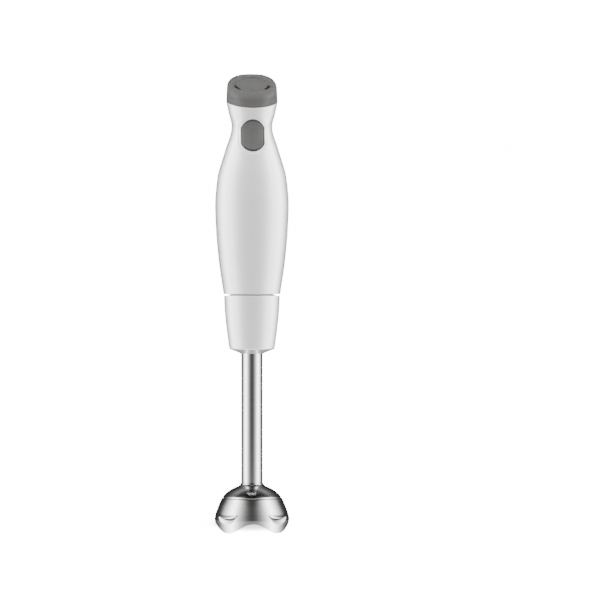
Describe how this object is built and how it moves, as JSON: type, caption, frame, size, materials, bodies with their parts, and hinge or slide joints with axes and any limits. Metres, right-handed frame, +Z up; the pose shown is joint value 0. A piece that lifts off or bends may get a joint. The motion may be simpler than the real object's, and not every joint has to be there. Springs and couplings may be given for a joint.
{
  "type": "immersion blender",
  "caption": "Hand-held stick blender with a waisted white motor handle, thumb button, screw-on steel foot and a scalloped bell guard round a winged blade.",
  "frame": {"origin": "on the drive axis, at the level of the four lobes the bell stands on", "axes": "+Z up the drive axis from bell to cap; -Y is the front, with the power button; +X is the user's right when facing the front"},
  "size_m": [0.0632, 0.0632, 0.3902],
  "materials": {
    "white_plastic": "glossy moulded ABS",
    "grey_plastic": "fine satin texture, soft-touch",
    "polished_steel": "polished stainless steel",
    "brushed_steel": "satin, brushed round the axis",
    "black_rubber": "matt elastomer",
    "black_plastic": "glass-filled nylon, matt",
    "copper": "enamelled copper",
    "brass": "machined",
    "lamination_iron": "stamped laminations, varnished",
    "carbon": "pressed carbon",
    "circuit_board": "solder-masked laminate",
    "amber_resin": "dipped resin",
    "natural_nylon": "natural acetal"
  },
  "bodies": {
    "handle": {"front_shell": "white_plastic", "rear_shell": "white_plastic", "top_cap": "grey_plastic", "cord_gland": "black_rubber", "drive_spigot": "natural_nylon", "button_seal": "black_rubber", "switch_body": "black_plastic", "button_spring": "polished_steel", "circuit_board": "circuit_board", "board_screw_upper": "polished_steel", "board_screw_lower": "polished_steel", "suppressor_capacitor": "amber_resin", "choke_left": "copper", "choke_right": "copper", "rectifier": "black_plastic", "stator_core": "lamination_iron", "field_coil_front": "copper", "field_coil_rear": "copper", "brush_bracket": "black_plastic", "base_bracket": "black_plastic", "motor_bolt_front": "polished_steel", "motor_bolt_rear": "polished_steel", "motor_nut_front": "polished_steel", "motor_nut_rear": "polished_steel", "brush_holder_left": "brass", "brush_holder_right": "brass", "carbon_brush_left": "carbon", "carbon_brush_right": "carbon", "brush_spring_left": "polished_steel", "brush_spring_right": "polished_steel", "lead_wire_left": "black_rubber", "lead_wire_right": "black_rubber", "upper_bearing": "brass", "lower_bearing": "polished_steel", "upper_damper": "black_rubber", "lower_damper": "black_rubber"},
    "rotor": {"motor_shaft": "polished_steel", "rotor_core": "lamination_iron", "armature_winding_upper": "copper", "armature_winding_lower": "copper", "commutator": "copper", "cooling_fan": "natural_nylon", "motor_coupling": "natural_nylon"},
    "seal_ring": {"seal_ring": "black_rubber"},
    "foot": {"foot_collar": "white_plastic", "shaft_tube": "polished_steel", "upper_shaft_bush": "brass", "bell_hub": "polished_steel", "lower_shaft_bush": "brass", "lip_seal": "black_rubber", "bell": "brushed_steel"},
    "blade_shaft": {"blade_shaft": "polished_steel", "shaft_clip": "polished_steel", "blade_spacer": "polished_steel", "blade": "polished_steel", "blade_nut": "polished_steel", "shaft_coupling": "natural_nylon"},
    "power_button": {"power_button": "grey_plastic"},
    "switch_plunger": {"switch_plunger": "natural_nylon"}
  },
  "joints": [
    {"name": "button_press", "type": "slide", "parent": "handle", "child": "power_button", "axis": [0, 1, 0], "range_m": [0, 0.0025], "stiffness_N_per_m": 600, "springref_m": -0.002, "deforming": ["button_spring"]},
    {"name": "plunger_press", "type": "slide", "parent": "handle", "child": "switch_plunger", "axis": [0, 1, 0], "range_m": [0, 0.0025]},
    {"name": "motor_spin", "type": "hinge", "parent": "handle", "child": "rotor", "pos_m": [0, 0, 0.258], "axis": [0, 0, 1], "continuous": true},
    {"name": "foot_turn", "type": "hinge", "parent": "handle", "child": "seal_ring", "pos_m": [0, 0, 0.2], "axis": [0, 0, -1], "range_deg": [0, 240]},
    {"name": "foot_drop", "type": "slide", "parent": "seal_ring", "child": "foot", "axis": [0, 0, -1], "range_m": [0, 0.0101]},
    {"name": "shaft_drop", "type": "slide", "parent": "rotor", "child": "blade_shaft", "axis": [0, 0, -1], "range_m": [0, 0.0101]}
  ],
  "couplings": [
    {"joint": "plunger_press", "follows": "button_press", "ratio": 1},
    {"joint": "foot_drop", "follows": "foot_turn", "m_per_rad": 0.0023873},
    {"joint": "shaft_drop", "follows": "foot_turn", "m_per_rad": 0.0023873}
  ]
}
